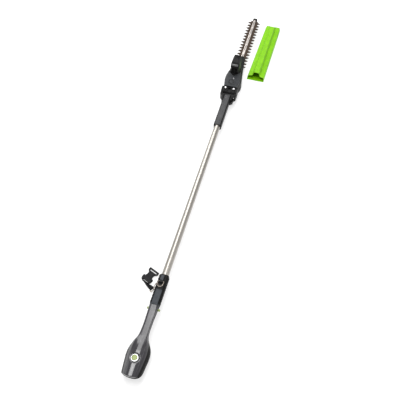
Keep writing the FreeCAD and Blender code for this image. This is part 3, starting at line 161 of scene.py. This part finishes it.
class Finish:
    """One procedural material, built up from its Principled shader."""

    def __init__(self, slot, roughness, metallic=0.0, **constants):
        self.material = bpy.data.materials.new(slot)
        self.material.use_nodes = True
        self.tree = self.material.node_tree
        self.shader = self.tree.nodes["Principled BSDF"]
        self.shader.inputs["Roughness"].default_value = roughness
        self.shader.inputs["Metallic"].default_value = metallic
        for socket, value in constants.items():
            self.shader.inputs[socket.replace("_", " ")].default_value = value
        self.place = self.tree.nodes.new("ShaderNodeTexCoord").outputs["Object"]
        MATERIALS[slot] = self.material

    def link(self, output, target):
        self.tree.links.new(output, target)

    def noise(self, scale, detail=3.0, stretch=(1.0, 1.0, 1.0), turn=(0.0, 0.0, 0.0)):
        """Noise over the piece, finer where stretch is large. Scale is in features per metre."""
        mapping = self.tree.nodes.new("ShaderNodeMapping")
        mapping.inputs["Scale"].default_value = stretch
        mapping.inputs["Rotation"].default_value = turn
        texture = self.tree.nodes.new("ShaderNodeTexNoise")
        texture.inputs["Scale"].default_value = scale
        texture.inputs["Detail"].default_value = detail
        self.link(self.place, mapping.inputs["Vector"])
        self.link(mapping.outputs["Vector"], texture.inputs["Vector"])
        return texture.outputs["Fac"]

    def colour(self, source, dark, light):
        """Base colour that goes from dark to light with the source."""
        node = self.tree.nodes.new("ShaderNodeValToRGB")
        for element, at, shade in zip(node.color_ramp.elements, COLOUR_SPAN, (dark, light)):
            element.position = at
            element.color = (*shade, 1.0)
        self.link(source, node.inputs["Fac"])
        self.link(node.outputs["Color"], self.shader.inputs["Base Color"])

    def gloss(self, source, low, high):
        """Roughness that varies between low and high with the source."""
        node = self.tree.nodes.new("ShaderNodeMapRange")
        node.inputs["From Min"].default_value = GLOSS_SPAN[0]
        node.inputs["From Max"].default_value = GLOSS_SPAN[1]
        node.inputs["To Min"].default_value = low
        node.inputs["To Max"].default_value = high
        self.link(source, node.inputs["Value"])
        self.link(node.outputs["Result"], self.shader.inputs["Roughness"])

    def below(self, level, socket, value):
        """Another value for the socket below that height on the piece, in metres."""
        height = self.tree.nodes.new("ShaderNodeSeparateXYZ")
        step = self.tree.nodes.new("ShaderNodeMapRange")
        step.inputs["From Min"].default_value = level - STEP_HALF
        step.inputs["From Max"].default_value = level + STEP_HALF
        self.link(self.place, height.inputs["Vector"])
        self.link(height.outputs["Z"], step.inputs["Value"])
        mix = self.tree.nodes.new("ShaderNodeMix")
        target = self.shader.inputs[socket]
        mix.data_type = "RGBA" if target.type == "RGBA" else "FLOAT"
        kind = "_Color" if target.type == "RGBA" else "_Float"
        ends = {end.identifier: end for end in mix.inputs}
        ends["A" + kind].default_value = value
        if target.links:
            self.link(target.links[0].from_socket, ends["B" + kind])
        else:
            ends["B" + kind].default_value = target.default_value
        self.link(step.outputs["Result"], ends["Factor_Float"])
        self.link(next(out for out in mix.outputs if out.identifier == "Result" + kind), target)

    def bump(self, source, depth):
        """Relief of that depth in metres."""
        node = self.tree.nodes.new("ShaderNodeBump")
        node.inputs["Distance"].default_value = depth
        node.inputs["Strength"].default_value = 1.0
        self.link(source, node.inputs["Height"])
        self.link(node.outputs["Normal"], self.shader.inputs["Normal"])


def moulded(slot, dark, light, rough, depth=0.04 * MM, **constants):
    """Moulded plastic: a faint mottle, uneven gloss and the fine grain of the mould."""
    finish = Finish(slot, sum(rough) / 2.0, **constants)
    finish.colour(finish.noise(MOTTLE), dark, light)
    finish.gloss(finish.noise(PATCHES, 5.0), *rough)
    finish.bump(finish.noise(GRAIN, 2.0), depth)
    return finish


def metal(slot, dark, light, rough, stretch, depth=0.02 * MM, turn=(0.0, 0.0, 0.0)):
    """Metal with brush or draw lines: noise stretched along the way it was worked."""
    finish = Finish(slot, sum(rough) / 2.0, metallic=1.0)
    lines = finish.noise(WORK_LINES, 4.0, stretch, turn)
    finish.colour(lines, dark, light)
    finish.gloss(lines, *rough)
    finish.bump(finish.noise(WORK_LINES * 4.0, 2.0, stretch, turn), depth)


def woven(slot, dark, light):
    """Webbing: crossing ribs of yarn, dull all over."""
    finish = Finish(slot, 0.85, Specular_IOR_Level=0.15)
    finish.colour(finish.noise(YARN, 2.0), dark, light)
    finish.gloss(finish.noise(WEAR), 0.75, 0.92)
    weave = finish.tree.nodes.new("ShaderNodeMath")
    weave.operation = "MAXIMUM"
    for turn, side in zip(RIB_TURNS, weave.inputs):
        mapping = finish.tree.nodes.new("ShaderNodeMapping")
        mapping.inputs["Rotation"].default_value = (0.0, 0.0, turn)
        wave = finish.tree.nodes.new("ShaderNodeTexWave")
        wave.inputs["Scale"].default_value = RIBS
        finish.link(finish.place, mapping.inputs["Vector"])
        finish.link(mapping.outputs["Vector"], wave.inputs["Vector"])
        finish.link(wave.outputs["Fac"], side)
    finish.bump(weave.outputs["Value"], RIB_DEPTH)


# ---------------------------------------------------------------- materials
LID_Z = 61.5 * MM       # the glossy skin ends here, above the matt black rim


def make_gloss_shell():
    """Glossy top of the housing and neck, with the matt black rim under its lid line."""
    finish = moulded("gloss_shell", (0.018, 0.017, 0.021), (0.025, 0.023, 0.028), (0.18, 0.24),
                     0.006 * MM, Specular_IOR_Level=0.38, Coat_Weight=0.5, Coat_Roughness=0.06)
    lid_line = LID_Z - NODES["housing_top_shell"].matrix_world.translation.z
    finish.below(lid_line, "Base Color", (0.003, 0.003, 0.003, 1.0))
    finish.below(lid_line, "Roughness", 0.50)
    finish.below(lid_line, "Specular IOR Level", 0.12)
    finish.below(lid_line, "Coat Weight", 0.0)


def make_plastics():
    moulded("black_shell", (0.004, 0.004, 0.004), (0.007, 0.007, 0.007), (0.42, 0.55),
            Specular_IOR_Level=0.15)
    moulded("battery_case", (0.005, 0.005, 0.006), (0.008, 0.008, 0.009), (0.48, 0.62),
            0.07 * MM, Specular_IOR_Level=0.15)
    moulded("green_button", (0.27, 0.33, 0.13), (0.32, 0.38, 0.16), (0.38, 0.50),
            Specular_IOR_Level=0.3)
    moulded("grey_grip", (0.027, 0.031, 0.037), (0.036, 0.040, 0.047), (0.50, 0.62),
            0.06 * MM, Specular_IOR_Level=0.25)
    moulded("grip_rubber", (0.005, 0.005, 0.005), (0.008, 0.008, 0.008), (0.62, 0.78),
            0.08 * MM, Specular_IOR_Level=0.12)
    moulded("lead_sheath", (0.012, 0.012, 0.012), (0.018, 0.018, 0.018), (0.45, 0.55))
    moulded("grey_cover", (0.021, 0.023, 0.026), (0.029, 0.031, 0.034), (0.46, 0.58),
            0.06 * MM, Specular_IOR_Level=0.22)
    moulded("sleeve_lid", (0.036, 0.036, 0.038), (0.048, 0.048, 0.050), (0.44, 0.56),
            0.06 * MM, Specular_IOR_Level=0.25)
    # The lip's light grey is a painted highlight along the motor cover's lip
    moulded("lip_painted_highlight", (0.060, 0.060, 0.060), (0.085, 0.085, 0.085), (0.30, 0.40))
    moulded("gear_case", (0.005, 0.006, 0.005), (0.008, 0.009, 0.008), (0.42, 0.55),
            0.07 * MM, Specular_IOR_Level=0.16)
    moulded("buckle_plastic", (0.005, 0.005, 0.006), (0.008, 0.008, 0.009), (0.46, 0.58),
            Specular_IOR_Level=0.15)
    moulded("sheath_plastic", (0.155, 0.41, 0.002), (0.185, 0.47, 0.003), (0.40, 0.52),
            0.05 * MM, Specular_IOR_Level=0.2)
    moulded("circuit_board", (0.010, 0.085, 0.025), (0.018, 0.13, 0.04), (0.25, 0.35))


def make_metals():
    even = (4.0, 4.0, 4.0)
    metal("tube_metal", (0.35, 0.33, 0.30), (0.39, 0.37, 0.34), (0.34, 0.37),
          (60.0, 0.3, 60.0), 0.001 * MM)
    metal("bar_steel", (0.36, 0.33, 0.31), (0.50, 0.46, 0.43), (0.34, 0.48),
          (3.0, 30.0, 30.0), turn=(0.0, 0.0, math.radians(35.0)))
    metal("blade_steel", (0.045, 0.032, 0.025), (0.075, 0.055, 0.042), (0.40, 0.55),
          (40.0, 2.0, 2.0))
    metal("bright_bezel", (0.80, 0.82, 0.80), (0.90, 0.92, 0.90), (0.16, 0.24), even)
    metal("bright_steel", (0.80, 0.80, 0.81), (0.90, 0.90, 0.91), (0.26, 0.38), even)
    metal("dark_steel", (0.10, 0.10, 0.10), (0.16, 0.16, 0.16), (0.35, 0.50), even)
    metal("nickel", (0.24, 0.21, 0.18), (0.36, 0.31, 0.27), (0.26, 0.40), even)


# ---------------------------------------------------------------- floor
FLOOR_HALF = 30.0
FLOOR_CELLS = 8
FLOOR_PLACE = (0.0, 1.0, -0.2 * MM)     # just under the tool
FLOOR_GLOW = 0.62                       # its own light, which keeps the shadows faint
FLOOR_MOTTLE = 1.5


def make_floor():
    """Plain pale studio floor, well beyond the view on every side."""
    finish = Finish("studio_floor", 0.8, Emission_Color=WHITE, Emission_Strength=FLOOR_GLOW)
    finish.colour(finish.noise(FLOOR_MOTTLE), (0.38, 0.38, 0.38), (0.40, 0.40, 0.40))
    bm = bmesh.new()
    bmesh.ops.create_grid(bm, x_segments=FLOOR_CELLS, y_segments=FLOOR_CELLS, size=FLOOR_HALF)
    floor = piece_from(bm, "floor")
    floor.location = FLOOR_PLACE
    dress(floor, "studio_floor")


# ---------------------------------------------------------------- which piece has which finish
LOOK_OF = {"sleeve_cover": "sleeve_lid", "motor_cover_lip": "lip_painted_highlight"}  # not their slot's shade; the lip's lighter grey is a painted highlight
BOSS_GROOVE_SHADE_RADII = (10.6 * MM, 15.2 * MM)    # inner and outer radius of the painted shade in the groove


def dress(obj, *slots):
    """Gives a piece the finish of one material slot, or of several."""
    obj.data.materials.clear()
    for slot in slots:
        obj.data.materials.append(MATERIALS[slot])


def dress_cad_nodes():
    for name, obj in NODES.items():
        dress(obj, LOOK_OF.get(name, SLOT_OF[name]))
    # paints shade into the groove around the rear cover's boss
    paint_boss_groove_shade()


def paint_boss_groove_shade():
    """Painted shade: the gear case's near-black on the faces in the groove around the rear cover's
    boss, where shadow falls.
    """
    boss = NODES["cover_boss"]
    low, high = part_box("cover_boss")
    middle = (low + high) / 2.0
    dress(boss, SLOT_OF["cover_boss"], "gear_case")
    for face in boss.data.polygons:
        place = boss.matrix_world @ face.center
        if BOSS_GROOVE_SHADE_RADII[0] < (place.xy - middle.xy).length < BOSS_GROOVE_SHADE_RADII[1]:
            face.material_index = 1


# ---------------------------------------------------------------- edges of the moulded pieces
REMESHED = {        # voxel in millimetres, smoothing passes, share of the faces kept
    "housing_top_shell": (1.0, 8, 0.30), "housing_lower_shell": (1.2, 5, 0.25),
    "motor_cover": (1.0, 5, 0.30), "blade_sheath": (1.3, 3, 0.30), "snap_hook": (0.5, 4, 0.35),
}
BEVELLED = {        # by the bevel's width in millimetres
    1.4: ["battery_pack", "gear_case_base", "gear_case_cover", "pivot_yoke", "tip_guard"],
    1.0: ["pivot_barrel", "head_rear_cover", "trigger", "buckle_socket", "buckle_plug",
          "sleeve_body", "strap_mount", "strap_tab", "lock_lever"],
    0.5: ["grip_panel", "sleeve_cover", "grip_pads", "motor_cover_lip", "motor_cover_cap",
          "cover_boss", "vent_grille", "index_disc", "terminal_block", "control_board",
          "trigger_switch", "lead_connector"],
    0.3: ["blade_bar", "button_bezel", "battery_release_button", "lock_off_button_left",
          "lock_off_button_right", "pivot_nut", "pivot_bolt", "barrel_screws", "guide_bolts",
          "motor_can"],
}
BEVEL_ANGLE = math.radians(28.0)        # edges sharper than this are rounded
BEVEL_SEGMENTS = 2


def remeshed(node, voxel, passes, keep):
    """Softens a moulded piece all over, as if its tool had generous radii."""
    obj = NODES[node]
    remesh = obj.modifiers.new("skin", "REMESH")
    remesh.mode = "VOXEL"
    remesh.voxel_size = voxel
    remesh.use_smooth_shade = True
    smooth = obj.modifiers.new("radii", "SMOOTH")
    smooth.factor = 0.5
    smooth.iterations = passes
    thin = obj.modifiers.new("thin", "DECIMATE")
    thin.ratio = keep


def bevelled(node, width):
    """Rounds the sharp edges of a piece by that width."""
    obj = NODES[node]
    weld = obj.modifiers.new("weld", "WELD")
    weld.merge_threshold = WELD
    flats = obj.modifiers.new("flats", "DECIMATE")
    flats.decimate_type = "DISSOLVE"
    flats.angle_limit = FLAT_ANGLE
    flats.delimit = {"MATERIAL"}
    bevel = obj.modifiers.new("edges", "BEVEL")
    bevel.width = width
    bevel.segments = BEVEL_SEGMENTS
    bevel.limit_method = "ANGLE"
    bevel.angle_limit = BEVEL_ANGLE
    bevel.harden_normals = True
    shade_smooth(obj)


def round_moulded_edges():
    for node, (voxel, passes, keep) in REMESHED.items():
        remeshed(node, voxel * MM, passes, keep)
    for width, nodes in BEVELLED.items():
        for node in nodes:
            bevelled(node, width * MM)


# ---------------------------------------------------------------- blades with ground teeth
TOOTH_ROOT_X = 20.7 * MM        # a tooth's edges lie outside this
TOOTH_REACH_X = 30.0 * MM       # and go out past this
ON_FACE = 0.01 * MM             # how near the face's level an edge has to lie
SHARP = 1.0                     # radians between the two faces of a cutting edge
GROUND_WIDTH = 1.3 * MM


def ground_blade(node, top_face):
    """The CAD blade with its tooth edges ground back on one face, the ground faces left bright."""
    bm = bmesh.new()
    bm.from_mesh(NODES[node].data)
    bmesh.ops.remove_doubles(bm, verts=bm.verts, dist=WELD)
    bmesh.ops.dissolve_limit(bm, angle_limit=FLAT_ANGLE, verts=bm.verts, edges=bm.edges)
    low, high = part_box(node)
    level = high.z if top_face else low.z
    on_teeth = []
    for edge in bm.edges:
        ends = [v.co for v in edge.verts]
        out = [abs(p.x) for p in ends]
        flat = all(abs(p.z - level) < ON_FACE for p in ends)
        outside = min(out) > TOOTH_ROOT_X and max(out) > TOOTH_REACH_X
        if flat and outside and len(edge.link_faces) == 2 and edge.calc_face_angle() > SHARP:
            on_teeth.append(edge)
    bmesh.ops.bevel(bm, geom=on_teeth, offset=GROUND_WIDTH, segments=1, affect="EDGES", material=1)
    bmesh.ops.triangulate(bm, faces=bm.faces)
    blade = piece_from(bm, node + "_ground")
    dress(blade, "blade_steel", "bar_steel")
    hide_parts(node)
    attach(blade, BODY_OF[node])


# ---------------------------------------------------------------- pole tube
TUBE_SIDES = 96
TUBE_WALL = 1.5 * MM
TUBE_BROKEN = 0.3 * MM          # the broken edge round each end
TUBE_SHARP = math.radians(30.0)


def make_tube():
    """The pole with a truly round skin, its bore and slightly broken end edges."""
    low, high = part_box("pole_tube")
    middle = (low + high) / 2.0
    outer = (high.x - low.x) / 2.0
    inner = outer - TUBE_WALL
    outline = [(inner, low.y), (outer - TUBE_BROKEN, low.y), (outer, low.y + TUBE_BROKEN),
               (outer, high.y - TUBE_BROKEN), (outer - TUBE_BROKEN, high.y), (inner, high.y)]
    bm = bmesh.new()
    rings = []
    for side in range(TUBE_SIDES):
        angle = 2.0 * math.pi * side / TUBE_SIDES
        across, up = math.cos(angle), math.sin(angle)
        rings.append([bm.verts.new((middle.x + r * across, y, middle.z + r * up))
                      for r, y in outline])
    join_rows(bm, rings, closed=True)
    tube = piece_from(bm, "pole_tube_round")
    shade_smooth(tube)
    tube.data.set_sharp_from_angle(angle=TUBE_SHARP)
    dress(tube, SLOT_OF["pole_tube"])
    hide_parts("pole_tube")
    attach(tube, BODY_OF["pole_tube"])


# ---------------------------------------------------------------- strap webbing
HOOK_BAR = Vector((-0.0450, 0.3065, 0.0042))      # middle of the hook's lower bar
HOOK_BAR_WAY = Vector((0.49, 0.87, 0.0)).normalized()     # and the way it runs
BUCKLE_TURN = math.radians(-22.0)
BUCKLE_BAR = Vector((-0.0853, 0.3290, 0.0060))    # middle of the strap bar in the buckle's socket
BUCKLE_BAR_WAY = Vector((math.cos(BUCKLE_TURN), math.sin(BUCKLE_TURN), 0.0))
UP = Vector((0.0, 0.0, 1.0))
STRAP_HALF = 10.3 * MM
STRAP_THICK = 1.1 * MM
STRAP_CELLS = 4                                   # across its width
BEND_ANGLES = [math.radians(100.0 - 25.0 * step) for step in range(9)]
HOOK_BEND = (2.9 * MM, 2.9 * MM)                  # the bend round each bar, along and up
BUCKLE_BEND = (3.2 * MM, 3.4 * MM)
LAYER_AT = [0.2 + 0.6 * i / 4 for i in range(5)]  # stations from the hook's bar to the buckle's
LAYER_CROWN = 0.5 * MM
UPPER_LAYER_Z = 5.0 * MM
LOWER_LAYER_Z = 3.2 * MM
STITCH_ROWS_AT = (0.27, 0.36)
STITCHES = 7                                      # in a row
STITCH_STEP = 0.26                                # of the strap's half width
STITCH_Z = 6.0 * MM
STITCH_SIZE = Matrix.Diagonal((1.0 * MM, 0.35 * MM, 0.25 * MM, 1.0))


def around_bar(middle, away, bend):
    """Points of the strap's bend around a bar, from its top round the far side to its bottom."""
    return [middle + away * (bend[0] * math.cos(angle)) + UP * (bend[1] * math.sin(angle))
            for angle in BEND_ANGLES]


def between_bars(t, height):
    """The strap's middle, t of the way from hook to buckle, and the way its width runs there."""
    middle = HOOK_BAR.lerp(BUCKLE_BAR, t)
    middle.z = height
    return middle, HOOK_BAR_WAY.lerp(BUCKLE_BAR_WAY, t).normalized()


def layer(height):
    """One flat layer of the strap between the bars, slightly crowned."""
    return [between_bars(t, height + LAYER_CROWN * math.sin(math.pi * t)) for t in LAYER_AT]


def make_webbing():
    """Flat strap sewn into a loop through the hook's bar and the buckle's bar."""
    from_buckle = Vector((HOOK_BAR_WAY.y, -HOOK_BAR_WAY.x, 0.0))
    into_buckle = Vector((-BUCKLE_BAR_WAY.y, BUCKLE_BAR_WAY.x, 0.0))
    at_hook = [(p, HOOK_BAR_WAY) for p in around_bar(HOOK_BAR, from_buckle, HOOK_BEND)]
    at_buckle = [(p, BUCKLE_BAR_WAY) for p in around_bar(BUCKLE_BAR, into_buckle, BUCKLE_BEND)]
    stations = at_buckle + layer(LOWER_LAYER_Z)[::-1] + at_hook[::-1] + layer(UPPER_LAYER_Z)
    bm = bmesh.new()
    rows = []
    for middle, way in stations:
        rows.append([bm.verts.new(middle + way * STRAP_HALF * (2.0 * k / STRAP_CELLS - 1.0))
                     for k in range(STRAP_CELLS + 1)])
    join_rows(bm, rows, closed=False)
    strap = piece_from(bm, "strap_webbing")
    shade_smooth(strap)
    thick = strap.modifiers.new("thick", "SOLIDIFY")
    thick.thickness = STRAP_THICK
    thick.offset = 0.0
    smooth = strap.modifiers.new("smooth", "SUBSURF")
    smooth.levels = smooth.render_levels = 2
    dress(strap, "webbing")
    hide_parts("webbing_loop")
    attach(strap, BODY_OF["webbing_loop"])


def make_stitches():
    """Two rows of thread across the strap near the hook, which hold its layers together."""
    bm = bmesh.new()
    for t in STITCH_ROWS_AT:
        middle, way = between_bars(t, STITCH_Z)
        turn = way.to_track_quat("X", "Z").to_matrix().to_4x4()
        for k in range(STITCHES):
            place = middle + way * STRAP_HALF * (STITCH_STEP * (k - STITCHES // 2))
            bmesh.ops.create_icosphere(bm, subdivisions=2, radius=1.0,
                                       matrix=Matrix.Translation(place) @ turn @ STITCH_SIZE)
    stitches = piece_from(bm, "strap_stitches")
    shade_smooth(stitches)
    dress(stitches, "webbing")
    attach(stitches, BODY_OF["webbing_loop"])


make_camera()
make_studio()
make_gloss_shell()
make_plastics()
woven("webbing", (0.006, 0.006, 0.007), (0.014, 0.014, 0.015))
make_metals()
make_floor()
dress_cad_nodes()
round_moulded_edges()
ground_blade("upper_blade", top_face=True)
ground_blade("lower_blade", top_face=False)
make_tube()
make_webbing()
make_stitches()
